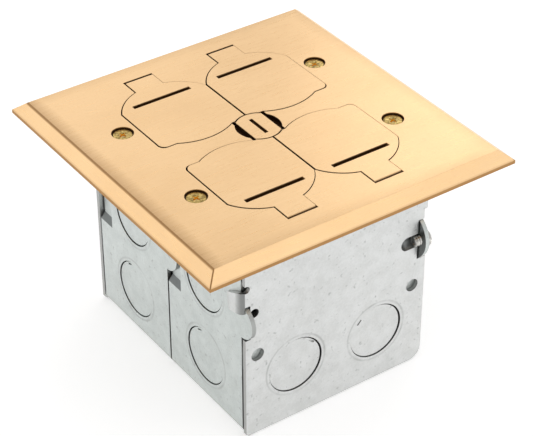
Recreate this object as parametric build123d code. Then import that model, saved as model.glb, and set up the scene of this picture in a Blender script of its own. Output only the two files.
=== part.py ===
from build123d import *
import os

# Two-gang floor socket box: a bevelled brass cover with four flip lids and a coin lock,
# over two galvanised box bodies ganged side by side, each with a duplex receptacle.
# Millimetres, +Z up, X along each receptacle, Y from one gang to the other.
# The origin is the middle of the underside of the box.

# Stack of heights, from the underside of the box upwards
box_depth = 82.55
strap_thickness = 1.3
gasket_thickness = 1.2
rim_thickness = 1.3
bevel_drop = 3.65

# Cover plate
cover_length = 127.0
cover_width = 129.4
bevel_width = 4.35
ledge_width = 1.8
bar_half_width = 1.2

# Flip lids
lid_thickness = 3.0
lid_width = 36.1
lid_gap = 0.38
lid_shift_x = 0.22
lid_shift_y = 0.15
lid_lip = 0.35
lid_relief = 0.3
lid_tab_gap = 0.7
tab_swing_room = 0.8
lid_dome_radius = 20.26
lid_dome_y = 24.5
lid_edge_y = 6.7
lid_corner_radius = 2.6
lid_bulge = 3.15
lid_bulge_chord = 23.2
tab_width = 12.3
tab_end_y = 52.0
hinge_y = 48.8
hinge_pin_radius = 0.8
hinge_pin_bite = 4.0
hinge_clearance = 0.1
finger_slot_y = 35.4
finger_slot_length = 24.3
finger_slot_width = 1.9
finger_slot_depth = 1.8
finger_slot_end_radius = 2.2

# Quarter-turn lock
lock_circle_radius = 8.45
lock_head_radius = 8.25
lock_head_thickness = 1.6
lock_flat_x = 5.5
lock_seat_clearance = 0.1
lock_shaft_radius = 3.0
lock_shaft_clearance = 0.08
lock_slot_length = 10.4
lock_slot_width = 1.5
lock_slot_depth = 1.0
lock_washer_radius = 4.8
lock_washer_thickness = 0.6
lock_arm_length = 6.6
lock_arm_half_width = 2.0
lock_arm_thickness = 1.2
lock_nut_across = 8.0
lock_nut_thickness = 2.4
lock_tip_length = 0.6
stop_boss_radius = 1.1
stop_boss_clearance = 0.15
stop_boss_inset = 0.3
lock_washer_split = 0.8
catch_x = 5.8
catch_width = 0.8
catch_y = 4.6
catch_thickness = 1.3
catch_clearance = 0.3
catch_floor_room = 0.25
catch_root = 0.9

# Gang bodies
screw_to_wall = 2.67
box_shift_x = -0.7
body_width = 46.2
seam_gap = 0.9
sheet = 1.6
bend_radius = 3.0
plate_gap = 0.9
device_ear_width = 15.0
knockout_radius = 11.3
knockout_cut = 0.7
knockout_cut_least = 0.12
knockout_tie = 3.0
knockout_sink = 0.25
pry_notch_length = 2.4
pry_notch_width = 0.7
pry_notch_depth = 0.5
pry_notch_inset = 1.2
knockout_low_z = 19.8
knockout_high_z = 52.6
base_knockout_x = -16.0
ground_hole_x = 16.0
hook_ear_z = 50.6
hook_ear_radius = 6.8
hook_ear_reach = 6.6
screw_ear_z = 55.0
screw_ear_radius = 10.2
screw_ear_reach = 6.5
screw_ear_half_height = 8.1
screw_ear_offset = 1.75
joggle_start = 1.3
joggle_end = 3.8
recess_width = 8.0
recess_margin = 2.4
recess_ramp = 2.4
recess_depth = 1.8

# Side plates
plate_knockout_left_x = -18.5
plate_knockout_left_z = 23.1
plate_knockout_right_x = 16.9
plate_knockout_right_z = 21.8
nail_hole_radius = 2.6
nail_hole_left_x = -34.7
nail_hole_right_x = 32.9
nail_hole_z = 35.4
seat_tab_reach = 7.6
seat_tab_clearance = 0.15
seat_tab_low_z = 29.0
seat_tab_high_z = 38.6
plate_chamfer = 0.8
plate_corner_radius = 5.0
plate_flange_depth = 8.0
ear_slot_clearance = 0.5
relief_hole_radius = 1.85
hook_tab_low_z = 55.3
hook_tab_height = 8.8
hook_tab_reach = 8.6
hook_tab_round = 2.0
hook_tab_clearance = 0.1
hook_tab_taper = 3.4
hook_tab_top_slope = 4.7
hook_tab_low_slope = 2.6
hook_bend_extra = 0.6
hook_bend_gap = 0.3
relief_hole_x = 1.6
relief_hole_z = 54.0
back_tab_low_z = 62.5
corner_relief_radius = 1.45
corner_relief_x = 0.5
corner_relief_rise = 1.1
dimple_length = 9.6
dimple_width = 5.6
dimple_depth = 2.3
dimple_skin = 1.4
screw_ear_slot_room = 0.35
edge_step_depth = 1.3
edge_step_top_z = 67.5

# Gasket
gasket_length = 104.0
gasket_width = 112.0
gasket_corner_radius = 6.0
gasket_window_gap = 0.8

# Screws
cover_screw_spacing = 83.34
cover_screw_radius = 1.7
cover_screw_head_radius = 3.5
cover_screw_head_height = 2.0
cover_screw_recess_radius = 4.05
cover_screw_recess_depth = 0.7
cover_screw_reach = 7.0
screw_clearance = 0.3
ganging_screw_radius = 2.08
ganging_screw_inset = 2.55
ganging_screw_length = 4.4
ganging_screw_head_radius = 3.6
ganging_screw_head_thickness = 2.2
ganging_slot_width = 1.1
ganging_slot_depth = 1.1
ganging_head_round = 1.2
screw_tip_chamfer = 0.5
cross_length = 3.9
cross_width = 0.9
cross_depth = 1.2
cross_turn = 20
screw_slot_width = 1.0
screw_slot_depth = 0.8
ground_screw_radius = 1.9
ground_screw_head_radius = 4.0
ground_screw_head_thickness = 2.6

# Duplex receptacles
strap_end = 4.33
strap_width = 20.0
strap_corner = 3.0
strap_rail = 2.3
strap_slot_length = 6.4
lug_length = 6.8
lug_reach = 3.6
lug_inset = 5.2
lug_screw_drop = 6.0
lug_screw_trim = 0.4
outlet_spacing = 38.9
outlet_radius = 17.15
outlet_half_height = 14.35
outlet_lift = 2.6
housing_length = 66.0
housing_width = 32.5
housing_depth = 24.0
housing_fillet = 2.0
blade_offset_x = 3.6
blade_offset_y = 6.35
blade_slot_width = 1.7
hot_slot_length = 6.6
neutral_slot_length = 8.2
ground_pin_distance = 11.9
ground_hole_radius = 2.45
contact_strip = 0.7
contact_height = 17.0
contact_base_drop = 18.0
contact_clearance = 0.4
terminal_recess_depth = 4.0
terminal_recess_margin = 1.5
terminal_recess_height = 13.0
terminal_screw_radius = 1.75
terminal_head_radius = 3.4
terminal_head_thickness = 1.8
terminal_lug_drop = 10.0
terminal_screw_rise = 6.0
terminal_plate_gap = 0.3
face_strap_gap = 0.15
rivet_rib_skin = 0.3
ground_strip_width = 4.0
rivet_radius = 1.1
rivet_head_radius = 1.5
rivet_head_thickness = 0.7
rivet_spread_y = 14.7
rivet_rib_half_width = 3.0

# Places worked out from the sizes above
strap_top = box_depth + strap_thickness
cover_bottom = strap_top + gasket_thickness
cover_top = cover_bottom + rim_thickness + bevel_drop
lid_bottom = cover_top - lid_thickness
hinge_z = cover_top - lid_thickness / 2
tab_radius = tab_end_y - lid_tab_gap - hinge_y
lid_middle_x = lid_width / 2
gang_pitch = body_width + seam_gap
gang_y = gang_pitch / 2
strap_length = cover_screw_spacing + 2 * strap_end
box_length = cover_screw_spacing - 2 * screw_to_wall
wall_out_low = box_shift_x - box_length / 2
wall_out_high = box_shift_x + box_length / 2
body_edge = seam_gap / 2 + body_width
front_screw_y = -body_edge - ganging_screw_inset
seam_screw_y = seam_gap / 2 - ganging_screw_inset
back_screw_y = body_edge + seam_gap - ganging_screw_inset
plate_inner = body_edge + plate_gap
plate_outer = plate_inner + sheet
screw_ear_outer_x = wall_out_high - screw_ear_offset
screw_ear_inner_x = screw_ear_outer_x - sheet
lock_seat_z = cover_top - lock_head_thickness - lock_seat_clearance
lock_washer_z = cover_bottom - lock_washer_thickness
lock_arm_z = lock_washer_z - lock_arm_thickness - 0.05
lock_nut_z = lock_arm_z - lock_nut_thickness
catch_top_z = lid_bottom + catch_thickness
housing_bottom = box_depth - housing_depth
outlet_top = strap_top + outlet_lift
contact_base_z = box_depth - contact_base_drop
contact_start_x = outlet_spacing / 2 + 4.0
contact_end_x = outlet_spacing / 2 + 8.0
contact_plate_y = housing_width / 2 - terminal_recess_depth + terminal_plate_gap
lug_middle_x = -housing_length / 2 + lug_inset
lug_y = -strap_width / 2 - lug_reach
lug_screw_z = box_depth - lug_screw_drop
outlet_places = (-outlet_spacing / 2, outlet_spacing / 2)


def block(x0, x1, y0, y1, z0, z1):
    """A box given by its corners."""
    middle = Pos((x0 + x1) / 2, (y0 + y1) / 2, (z0 + z1) / 2)
    return middle * Box(abs(x1 - x0), abs(y1 - y0), abs(z1 - z0))


def rod_z(x, y, radius, z0, z1):
    """A round bar along Z."""
    return Pos(x, y, (z0 + z1) / 2) * Cylinder(radius, abs(z1 - z0))


def rod_x(y, z, radius, x0, x1):
    """A round bar along X."""
    return Pos((x0 + x1) / 2, y, z) * Rot(0, 90, 0) * Cylinder(radius, abs(x1 - x0))


def rod_y(x, z, radius, y0, y1):
    """A round bar along Y."""
    return Pos(x, (y0 + y1) / 2, z) * Rot(90, 0, 0) * Cylinder(radius, abs(y1 - y0))


def whole(shape):
    """The one solid that a boolean result holds."""
    solids = shape.solids()
    return max(solids, key=lambda solid: solid.volume)


def save(name, *shapes):
    """Writes one named node: one solid, or a group of like separate solids."""
    solids = [solid for shape in shapes for solid in shape.solids()]
    node = solids[0] if len(solids) == 1 else Compound(children=solids)
    node.label = name
    export_step(node, f"parts/{name}.step")


def lid_outline(inset, shift_x=0.0, shift_y=0.0):
    """Plan of the lid at +X +Y: its pocket's outline drawn in by inset, then slid within the pocket."""
    x0, x1 = inset, lid_width - inset
    y0 = lid_edge_y + inset
    lower = Pos(lid_middle_x, (y0 + lid_dome_y) / 2) * Rectangle(x1 - x0, lid_dome_y - y0)
    outer_corner = lower.vertices().filter_by(lambda v: v.Y < lid_dome_y - 1 and v.X > lid_middle_x)
    lower = fillet(outer_corner, lid_corner_radius)
    dome = Pos(lid_middle_x, lid_dome_y) * Circle(lid_dome_radius - inset)
    dome &= Pos(lid_middle_x, lid_dome_y + lid_dome_radius / 2) * Rectangle(x1 - x0, lid_dome_radius)
    half_chord = lid_bulge_chord / 2
    bulge_radius = (half_chord**2 + lid_bulge**2) / (2 * lid_bulge)
    bulge_y = lid_edge_y - lid_bulge + bulge_radius
    bulge = Pos(lid_middle_x, bulge_y) * Circle(bulge_radius - inset)
    bulge &= Pos(lid_middle_x, y0) * Rectangle(lid_bulge_chord, 2 * lid_bulge)
    outline = Pos(shift_x, shift_y) * (lower + dome + bulge)
    return outline - Circle(lock_circle_radius + inset)


def lid_prism(inset, z0, z1, shift_x=0.0, shift_y=0.0):
    """A prism of the lid's plan between two heights."""
    return Pos(0, 0, z0) * extrude(lid_outline(inset, shift_x, shift_y), z1 - z0)


def to_quadrant(shape, side_x, side_y):
    """Turns a shape drawn at +X +Y into the asked quadrant by mirroring."""
    if side_x < 0:
        shape = mirror(shape, Plane.YZ)
    if side_y < 0:
        shape = mirror(shape, Plane.XZ)
    return shape


QUADRANTS = {1: (-1, 1), 2: (1, 1), 3: (-1, -1), 4: (1, -1)}


def screw_places():
    """Middles of the four cover screws."""
    for side_x in (-1, 1):
        for side_y in (-1, 1):
            yield side_x * cover_screw_spacing / 2, side_y * gang_y


def catch_block(grow, z0, z1):
    """The small tongue at a lid's inner corner that the lock's round part turns over."""
    return block(catch_x - grow, catch_x + catch_width + grow, catch_y - grow,
                 lid_edge_y + catch_root + grow, z0, z1)


def make_cover():
    """Cast and brushed cover plate with its pockets, notches and screw seats."""
    rim = Box(cover_length, cover_width, rim_thickness, align=(Align.CENTER, Align.CENTER, Align.MIN))
    bevel = loft([
        Rectangle(cover_length, cover_width),
        Pos(0, 0, bevel_drop) * Rectangle(cover_length - 2 * bevel_width, cover_width - 2 * bevel_width),
    ])
    cover = Pos(0, 0, cover_bottom) * (rim + Pos(0, 0, rim_thickness) * bevel)
    above = cover_top + 1
    pocket = lid_prism(0, lid_bottom, above)
    window = lid_prism(ledge_width, cover_bottom - 1, above)
    window -= block(-1, bar_half_width, 0, tab_end_y, cover_bottom - 2, above + 1)
    notch = block(lid_middle_x - tab_width / 2, lid_middle_x + tab_width / 2,
                  lid_dome_y, tab_end_y, lid_bottom, above)
    swing = block(lid_middle_x - tab_width / 2, lid_middle_x + tab_width / 2,
                  hinge_y - tab_radius - tab_swing_room, tab_end_y, cover_bottom - 1, above)
    catch_room = catch_block(catch_clearance, lid_bottom - catch_floor_room, above)
    for side_x, side_y in QUADRANTS.values():
        for tool in (pocket, window, notch, swing, catch_room):
            cover -= to_quadrant(tool, side_x, side_y)
        pin_hole = rod_x(hinge_y, hinge_z, hinge_pin_radius,
                         lid_middle_x - tab_width / 2 - hinge_pin_bite,
                         lid_middle_x + tab_width / 2 + hinge_pin_bite)
        cover -= to_quadrant(pin_hole, side_x, side_y)
    cover -= rod_z(0, 0, lock_circle_radius, lock_seat_z, above)
    cover -= rod_z(0, 0, lock_shaft_radius + lock_shaft_clearance, cover_bottom - 1, above)
    for x, y in screw_places():
        cover -= rod_z(x, y, cover_screw_radius + screw_clearance, cover_bottom - 1, above)
        seat_z = cover_top - cover_screw_recess_depth
        cover -= rod_z(x, y, cover_screw_recess_radius, seat_z, above)
        cone = Cone(cover_screw_radius + screw_clearance, cover_screw_head_radius + 0.1,
                    cover_screw_head_height, align=(Align.CENTER, Align.CENTER, Align.MAX))
        cover -= Pos(x, y, seat_z) * cone
    cover = whole(cover)
    for boss_x, boss_y in stop_boss_places():
        cover += rod_z(boss_x, boss_y, stop_boss_radius, lock_arm_z, cover_bottom + 0.5)
    return whole(cover)


def stop_boss_places():
    """Bosses under the cover that stop the lock's arm at either end of its quarter turn."""
    along = lock_arm_length - stop_boss_radius - stop_boss_inset
    beside = lock_arm_half_width + stop_boss_radius + stop_boss_clearance
    return [(along, -beside), (-beside, along)]


def make_lid(side_x, side_y):
    """Flip lid of one quadrant: plate, hinge tab with its rounded end, finger slot and catch tongue.

    All four lids lie slid a little towards +X and +Y in their pockets, about their own pins. Below a
    thin lip the edge is relieved, so that the curved edge beside the tab clears the cover as it lifts.
    """
    shift_x, shift_y = side_x * lid_shift_x, side_y * lid_shift_y
    lid = lid_prism(lid_gap, cover_top - lid_lip, cover_top, shift_x, shift_y)
    lid += lid_prism(lid_gap + lid_relief, lid_bottom, cover_top - lid_lip, shift_x, shift_y)
    half_tab = tab_width / 2 - lid_gap
    tab_x0, tab_x1 = lid_middle_x + shift_x - half_tab, lid_middle_x + shift_x + half_tab
    lid += block(tab_x0, tab_x1, lid_dome_y, hinge_y, lid_bottom, cover_top)
    end = rod_x(hinge_y, hinge_z, tab_radius + shift_y, tab_x0, tab_x1)
    lid += end & block(tab_x0, tab_x1, hinge_y - 1, tab_end_y, lid_bottom, cover_top)
    lid += catch_block(0, lid_bottom, catch_top_z)
    lid -= rod_x(hinge_y, hinge_z, hinge_pin_radius + hinge_clearance, 0, lid_width)
    run = finger_slot_length / 2 - finger_slot_end_radius
    slot_x, slot_floor = lid_middle_x + shift_x, cover_top - finger_slot_depth
    slot_y0, slot_y1 = finger_slot_y - finger_slot_width / 2, finger_slot_y + finger_slot_width / 2
    lid -= block(slot_x - run, slot_x + run, slot_y0, slot_y1, slot_floor, cover_top + 1)
    for end_x in (slot_x - run, slot_x + run):
        lid -= rod_y(end_x, slot_floor + finger_slot_end_radius, finger_slot_end_radius, slot_y0, slot_y1)
    return to_quadrant(whole(lid), side_x, side_y)


def make_hinge_pins():
    """Four straight pins pressed into the cover on both sides of the tab notches."""
    pin = rod_x(hinge_y, hinge_z, hinge_pin_radius,
                lid_middle_x - tab_width / 2 - hinge_pin_bite,
                lid_middle_x + tab_width / 2 + hinge_pin_bite)
    return [to_quadrant(pin, *side) for side in QUADRANTS.values()]


def make_lock_cam():
    """Coin-slotted head with two flats, and its round shaft with a squared end."""
    head = rod_z(0, 0, lock_head_radius, cover_top - lock_head_thickness, cover_top)
    head &= block(-lock_flat_x, lock_flat_x, -10, 10, cover_top - 5, cover_top + 1)
    cam = head + rod_z(0, 0, lock_shaft_radius, lock_nut_z - lock_tip_length, cover_top - 0.5)
    cam -= block(-lock_slot_width / 2, lock_slot_width / 2, -lock_slot_length / 2, lock_slot_length / 2,
                 cover_top - lock_slot_depth, cover_top + 1)
    return whole(cam)


def make_lock_washer():
    """Spring washer between the cover and the stop arm."""
    ring = rod_z(0, 0, lock_washer_radius, lock_washer_z, cover_bottom)
    half_split = lock_washer_split / 2
    ring -= block(-half_split, half_split, 0, lock_washer_radius + 1, lock_washer_z - 1, cover_bottom + 1)
    return whole(ring - rod_z(0, 0, lock_shaft_radius + 0.2, lock_washer_z - 1, cover_bottom + 1))


def make_lock_arm():
    """Stop arm on the shaft, which turns between the two bosses."""
    arm = rod_z(0, 0, lock_washer_radius - 0.8, lock_arm_z, lock_arm_z + lock_arm_thickness)
    arm += block(0, lock_arm_length, -lock_arm_half_width, lock_arm_half_width,
                 lock_arm_z, lock_arm_z + lock_arm_thickness)
    arm -= rod_z(0, 0, lock_shaft_radius, lock_arm_z - 1, lock_arm_z + 3)
    for boss_x, boss_y in stop_boss_places():
        arm -= rod_z(boss_x, boss_y, stop_boss_radius + stop_boss_clearance, lock_arm_z - 1, cover_bottom)
    return whole(arm)


def make_lock_nut():
    """Hexagon nut that holds the arm on the shaft."""
    outline = RegularPolygon(lock_nut_across / 2, 6, major_radius=False) - Circle(lock_shaft_radius)
    return whole(Pos(0, 0, lock_nut_z) * extrude(outline, lock_nut_thickness))


def make_gasket():
    """Foam gasket between the cover and the floor, cut out for outlets, lock and screws."""
    outer = Rectangle(gasket_length, gasket_width)
    gasket = Pos(0, 0, strap_top) * extrude(fillet(outer.vertices(), gasket_corner_radius), gasket_thickness)
    half_window = outlet_spacing / 2 + outlet_half_height + gasket_window_gap
    for side_y in (-1, 1):
        centre = side_y * gang_y
        gasket -= block(-half_window, half_window, centre - outlet_radius - gasket_window_gap,
                        centre + outlet_radius + gasket_window_gap, strap_top - 1, cover_bottom + 1)
    gasket -= rod_z(0, 0, lock_circle_radius, strap_top - 1, cover_bottom + 1)
    for x, y in screw_places():
        gasket -= rod_z(x, y, cover_screw_radius + 0.5, strap_top - 1, cover_bottom + 1)
    return gasket


def cut_knockout(wall, place, cut_angle, notch_angle):
    """Shears a knockout into a wall.

    place puts +Z along the wall's outward normal, on its face. The disc is sunk a little and lies off
    centre, so the shear is widest towards cut_angle and narrow at the tie opposite. A shallow notch
    for prying it out lies at notch_angle.
    """
    inner = knockout_radius - (knockout_cut + knockout_cut_least) / 2
    aside = (knockout_cut - knockout_cut_least) / 2
    ring = Cylinder(knockout_radius, 4 * sheet) - Pos(-aside, 0, 0) * Cylinder(inner, 5 * sheet)
    ring -= Pos(-knockout_radius, 0, 0) * Box(knockout_radius, knockout_tie, 6 * sheet)
    sink = Pos(0, 0, 2 * sheet - knockout_sink) * Cylinder(knockout_radius, 4 * sheet)
    notch = Rot(0, 0, notch_angle) * Pos(knockout_radius - pry_notch_inset, 0, 0) * Box(
        pry_notch_width, pry_notch_length, 2 * (knockout_sink + pry_notch_depth))
    return wall - place * Rot(0, 0, cut_angle) * ring - place * sink - place * notch


def make_body(side_y):
    """One gang body: a U of sheet with device ears, ganging ears, recesses and knockouts."""
    y0, y1 = 0.0, body_width
    outer = block(wall_out_low, wall_out_high, y0, y1, 0, box_depth)
    low_edges = outer.edges().filter_by(Axis.Y).group_by(Axis.Z)[0]
    outer = fillet(low_edges, bend_radius)
    inner = block(wall_out_low + sheet, wall_out_high - sheet, y0 - 1, y1 + 1, sheet, box_depth + 5)
    inner_edges = inner.edges().filter_by(Axis.Y).group_by(Axis.Z)[0]
    inner = fillet(inner_edges, bend_radius - sheet)
    body = outer - inner
    middle = body_width / 2
    for side, wall_out in ((-1, wall_out_low), (1, wall_out_high)):
        tip = side * strap_length / 2
        ear = block(wall_out - side * sheet / 2, tip, middle - device_ear_width / 2,
                    middle + device_ear_width / 2, box_depth - sheet, box_depth)
        tip_edges = ear.edges().filter_by(Axis.Z).group_by(Axis.X)[0 if side < 0 else -1]
        body += fillet(tip_edges, 2.5)
        hole_x = side * cover_screw_spacing / 2
        body -= rod_z(hole_x, middle, cover_screw_radius, box_depth - 3 * sheet, box_depth + 1)
        for z in (knockout_low_z, knockout_high_z):
            place = Pos(wall_out, middle, z) * Rot(0, side * 90, 0)
            body = cut_knockout(body, place, 90 - side * 40, 90 + side * 68)
    base_place = Pos(base_knockout_x, middle, 0) * Rot(180, 0, 0)
    body = cut_knockout(body, base_place, 20, 110)
    body = add_recess(add_hook_ear(body), y1)
    body = add_screw_ear(body, y1)
    inward = -1 if side_y > 0 else 1
    tab_y = (y1 if side_y > 0 else y0) - inward * (plate_gap - seat_tab_clearance)
    for wall_in, side in ((wall_out_low + sheet, 1), (wall_out_high - sheet, -1)):
        body += block(wall_in - side * sheet / 2, wall_in + side * seat_tab_reach,
                      tab_y, tab_y + inward * sheet, seat_tab_low_z, seat_tab_high_z)
    body -= rod_z(ground_hole_x, middle, ground_screw_radius, -1, 2 * sheet)
    body = whole(body)
    shift = seam_gap / 2 if side_y > 0 else -seam_gap / 2 - body_width
    return Pos(0, shift, 0) * body


def add_hook_ear(body):
    """Rounded ear on the -X wall that lies in the next gang's recess, or in the side plate's slot."""
    ear = rod_x(hook_ear_radius - hook_ear_reach, hook_ear_z, hook_ear_radius,
                wall_out_low, wall_out_low + sheet)
    return body + (ear & block(wall_out_low, wall_out_high, -hook_ear_radius, 1, 0, box_depth))


def add_recess(body, edge_y):
    """Presses the pocket that takes the next gang's hook ear into the -X wall's far edge."""
    half_height = hook_ear_radius + recess_margin + recess_ramp
    low, high = hook_ear_z - half_height, hook_ear_z + half_height

    def profile(grow, depth_low, depth_high):
        points = [
            (wall_out_low + depth_low, low - grow),
            (wall_out_low + depth_high, low + recess_ramp - grow),
            (wall_out_low + depth_high, high - recess_ramp + grow),
            (wall_out_low + depth_low, high + grow),
        ]
        return make_face(Polyline(points, close=True))

    pad = profile(sheet * 0.6, 0.2, recess_depth + sheet)
    pad = Pos(0, edge_y, 0) * extrude(Plane.XZ * pad, recess_width + sheet)
    pocket = profile(0, -0.01, recess_depth)
    pocket = Pos(0, edge_y + 0.01, 0) * extrude(Plane.XZ * pocket, recess_width)
    return body + pad - pocket


def screw_ear(start_y, root_y):
    """Flat ear that lies just inside the +X wall, with its threaded hole; its tip points to -Y."""
    low, high = screw_ear_z - screw_ear_half_height, screw_ear_z + screw_ear_half_height
    ear = rod_x(start_y - screw_ear_reach + screw_ear_radius, screw_ear_z, screw_ear_radius,
                screw_ear_inner_x, screw_ear_outer_x)
    ear &= block(0, wall_out_high, start_y - screw_ear_reach - 1, root_y, low, high)
    return ear - rod_x(start_y - ganging_screw_inset, screw_ear_z, ganging_screw_radius,
                       screw_ear_inner_x - 1, screw_ear_outer_x + 1)


def add_screw_ear(body, edge_y):
    """Offsets the +X wall inwards by its own thickness into the screw ear, and slots the far edge."""
    low, high = screw_ear_z - screw_ear_half_height, screw_ear_z + screw_ear_half_height
    body -= block(wall_out_high - 2 * sheet, wall_out_high + 1, -1, joggle_end, low, high)
    ramp = [
        (screw_ear_outer_x, joggle_start - 0.5), (screw_ear_outer_x, joggle_start),
        (wall_out_high, joggle_end), (wall_out_high - sheet, joggle_end),
        (screw_ear_inner_x, joggle_start + 0.3), (screw_ear_inner_x, joggle_start - 0.5),
    ]
    ramp = Pos(0, 0, low) * extrude(make_face(Polyline(ramp, close=True)), high - low)
    body = body + ramp + screw_ear(0, joggle_start)
    hole_y = edge_y + seam_gap - ganging_screw_inset
    hole_radius = ganging_screw_radius + screw_clearance
    body -= rod_x(hole_y, screw_ear_z, hole_radius, wall_out_high - 2 * sheet, wall_out_high + 1)
    return body - block(wall_out_high - 2 * sheet, wall_out_high + 1, hole_y, edge_y + 1,
                        screw_ear_z - hole_radius, screw_ear_z + hole_radius)


def plate_blank():
    """Side plate drawn for the -Y side: sheet, bottom corners and knockouts, without its hooks."""
    y0, y1 = -plate_outer, -plate_inner
    plate = block(wall_out_low, wall_out_high, y0, y1, 0, box_depth)
    corner = plate.edges().filter_by(Axis.Y).group_by(Axis.Z)[0].sort_by(Axis.X)
    plate = chamfer(corner[0], plate_chamfer)
    corner = plate.edges().filter_by(Axis.Y).group_by(Axis.Z)[0].sort_by(Axis.X)
    plate = fillet(corner[-1], plate_corner_radius)
    for x, z, notch_angle in ((plate_knockout_left_x, plate_knockout_left_z, 46),
                              (plate_knockout_right_x, plate_knockout_right_z, 137)):
        place = Pos(x, y0, z) * Rot(90, 0, 0)
        plate = cut_knockout(plate, place, -20, notch_angle)
    for x in (nail_hole_left_x, nail_hole_right_x):
        plate -= rod_y(x, nail_hole_z, nail_hole_radius, y0 - 1, y1 + 1)
    inset = bend_radius + sheet
    plate += block(wall_out_low + inset, wall_out_high - inset, y1 - 0.2, y1 + plate_flange_depth,
                   sheet, 2 * sheet)
    return plate


def hook_tab(low_z):
    """Tab that wraps round the plate's corner onto the end wall and tapers down onto it."""
    face = wall_out_low - hook_tab_clearance
    stand = face - hook_bend_gap
    skin = stand - sheet
    y0, y1 = -plate_outer, -plate_inner
    tip_y = y0 + hook_tab_reach + sheet
    knee_y = tip_y - hook_tab_taper
    points = [(wall_out_low + 1, y1), (wall_out_low + 1, y0), (skin, y0), (skin, y0 + hook_tab_taper),
              (face - sheet, knee_y), (face - 0.4, tip_y), (face, tip_y), (face, knee_y), (stand, y1)]
    outline = make_face(Polyline(points, close=True))
    bend = outline.vertices().filter_by(lambda v: abs(v.X - skin) < 0.01 and abs(v.Y - y0) < 0.01)
    outline = fillet(bend, sheet + hook_bend_extra)
    knee = outline.vertices().filter_by(lambda v: abs(v.X - face + sheet) < 0.01)
    outline = fillet(knee, 2.0)
    top_z = low_z + hook_tab_height
    side = [(y0 - 1, low_z), (y0 - 1, top_z), (y0 + sheet, top_z), (tip_y, top_z - hook_tab_top_slope),
            (tip_y, low_z - hook_tab_low_slope), (y0 + sheet, low_z)]
    tongue = make_face(Polyline(side, close=True))
    tongue = fillet(tongue.vertices().filter_by(lambda v: v.X > tip_y - 0.01), hook_tab_round)
    tongue = Pos(wall_out_low, 0, 0) * extrude(Plane.YZ * tongue, 2 * sheet + 1, both=True)
    column = Pos(0, 0, low_z - hook_tab_height) * extrude(outline, 3 * hook_tab_height)
    return column & tongue


def make_front_plate():
    """The -Y side plate, notched for the ears, with the hook tab and the screw dimple."""
    plate = plate_blank()
    y0, y1 = -plate_outer, -plate_inner
    notch_low = hook_ear_z - hook_ear_radius - ear_slot_clearance
    notch_x = wall_out_low + sheet + ear_slot_clearance
    plate -= block(wall_out_low - 1, notch_x, y0 - 1, y1 + 1, notch_low, hook_tab_low_z)
    plate -= rod_y(notch_x + relief_hole_x, relief_hole_z, relief_hole_radius, y0 - 1, y1 + 1)
    plate += hook_tab(hook_tab_low_z)
    ear_top = hook_ear_z + hook_ear_radius + ear_slot_clearance
    plate -= block(wall_out_low - hook_tab_clearance, notch_x, y0 - 1, y1 + 1, notch_low, ear_top)
    corner_z = hook_tab_low_z + hook_tab_height + corner_relief_rise
    plate -= rod_y(wall_out_low + corner_relief_x, corner_z, corner_relief_radius, y0 - 1, y1 + 1)
    slot_x = screw_ear_inner_x - ear_slot_clearance
    slot_half_height = screw_ear_half_height + screw_ear_slot_room
    plate -= block(slot_x, wall_out_high + 1, y0 - 1, y1 + 1,
                   screw_ear_z - slot_half_height, screw_ear_z + slot_half_height)
    plate -= block(wall_out_high - edge_step_depth, wall_out_high + 1, y0 - 1, y1 + 1,
                   screw_ear_z, edge_step_top_z)
    radius = ((dimple_width / 2)**2 + dimple_depth**2) / (2 * dimple_depth)
    centre_y = y0 + dimple_depth - radius
    start_x = wall_out_high - sheet - dimple_length + dimple_width / 2
    groove = rod_x(centre_y, screw_ear_z, radius, start_x, slot_x + 1)
    groove += Pos(start_x, centre_y, screw_ear_z) * Sphere(radius)
    swell = rod_x(centre_y, screw_ear_z, radius + dimple_skin, start_x, slot_x)
    swell += Pos(start_x, centre_y, screw_ear_z) * Sphere(radius + dimple_skin)
    swell &= block(0, slot_x, y0 + 0.2, y0 + dimple_depth + dimple_skin, 0, box_depth)
    return whole(plate + swell - groove)


def make_back_plate():
    """The +Y side plate: the same blank the other way round, with a hook tab and a screw ear."""
    plate = plate_blank() + hook_tab(back_tab_low_z)
    corner_z = back_tab_low_z + hook_tab_height + corner_relief_rise
    plate -= rod_y(wall_out_low + corner_relief_x, corner_z, corner_relief_radius,
                   -plate_outer - 1, -plate_inner + 1)
    plate = mirror(plate, Plane.XZ)
    return whole(plate + screw_ear(body_edge + seam_gap, plate_outer - 0.2))


def ganging_screw(seat_x, y):
    """Slotted round-head screw along X, its head seated at seat_x."""
    shank = rod_x(y, screw_ear_z, ganging_screw_radius, seat_x - ganging_screw_length, seat_x + 0.5)
    tip_edges = shank.edges().filter_by(GeomType.CIRCLE).sort_by(Axis.X)[0]
    shank = chamfer(tip_edges, screw_tip_chamfer)
    head = rod_x(y, screw_ear_z, ganging_screw_head_radius, seat_x, seat_x + ganging_screw_head_thickness)
    head_edge = head.edges().filter_by(GeomType.CIRCLE).sort_by(Axis.X)[-1]
    head = fillet(head_edge, ganging_head_round)
    slot = block(seat_x + ganging_screw_head_thickness - ganging_slot_depth, seat_x + 5,
                 y - 5, y + 5, screw_ear_z - ganging_slot_width / 2, screw_ear_z + ganging_slot_width / 2)
    return whole(shank + head - slot)


def cover_screw(x, y):
    """Countersunk cross-recess screw through cover, gasket and strap into the device ear."""
    top = cover_top - cover_screw_recess_depth
    tip = box_depth - sheet - cover_screw_reach
    cone = Cone(cover_screw_radius, cover_screw_head_radius, cover_screw_head_height,
                align=(Align.CENTER, Align.CENTER, Align.MAX))
    screw = rod_z(x, y, cover_screw_radius, tip, top - 0.5) + Pos(x, y, top) * cone
    for turn in (0, 90):
        arm = Box(cross_length, cross_width, 2 * cross_depth)
        screw -= Pos(x, y, top) * Rot(0, 0, turn + cross_turn) * arm
    return whole(screw)


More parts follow.
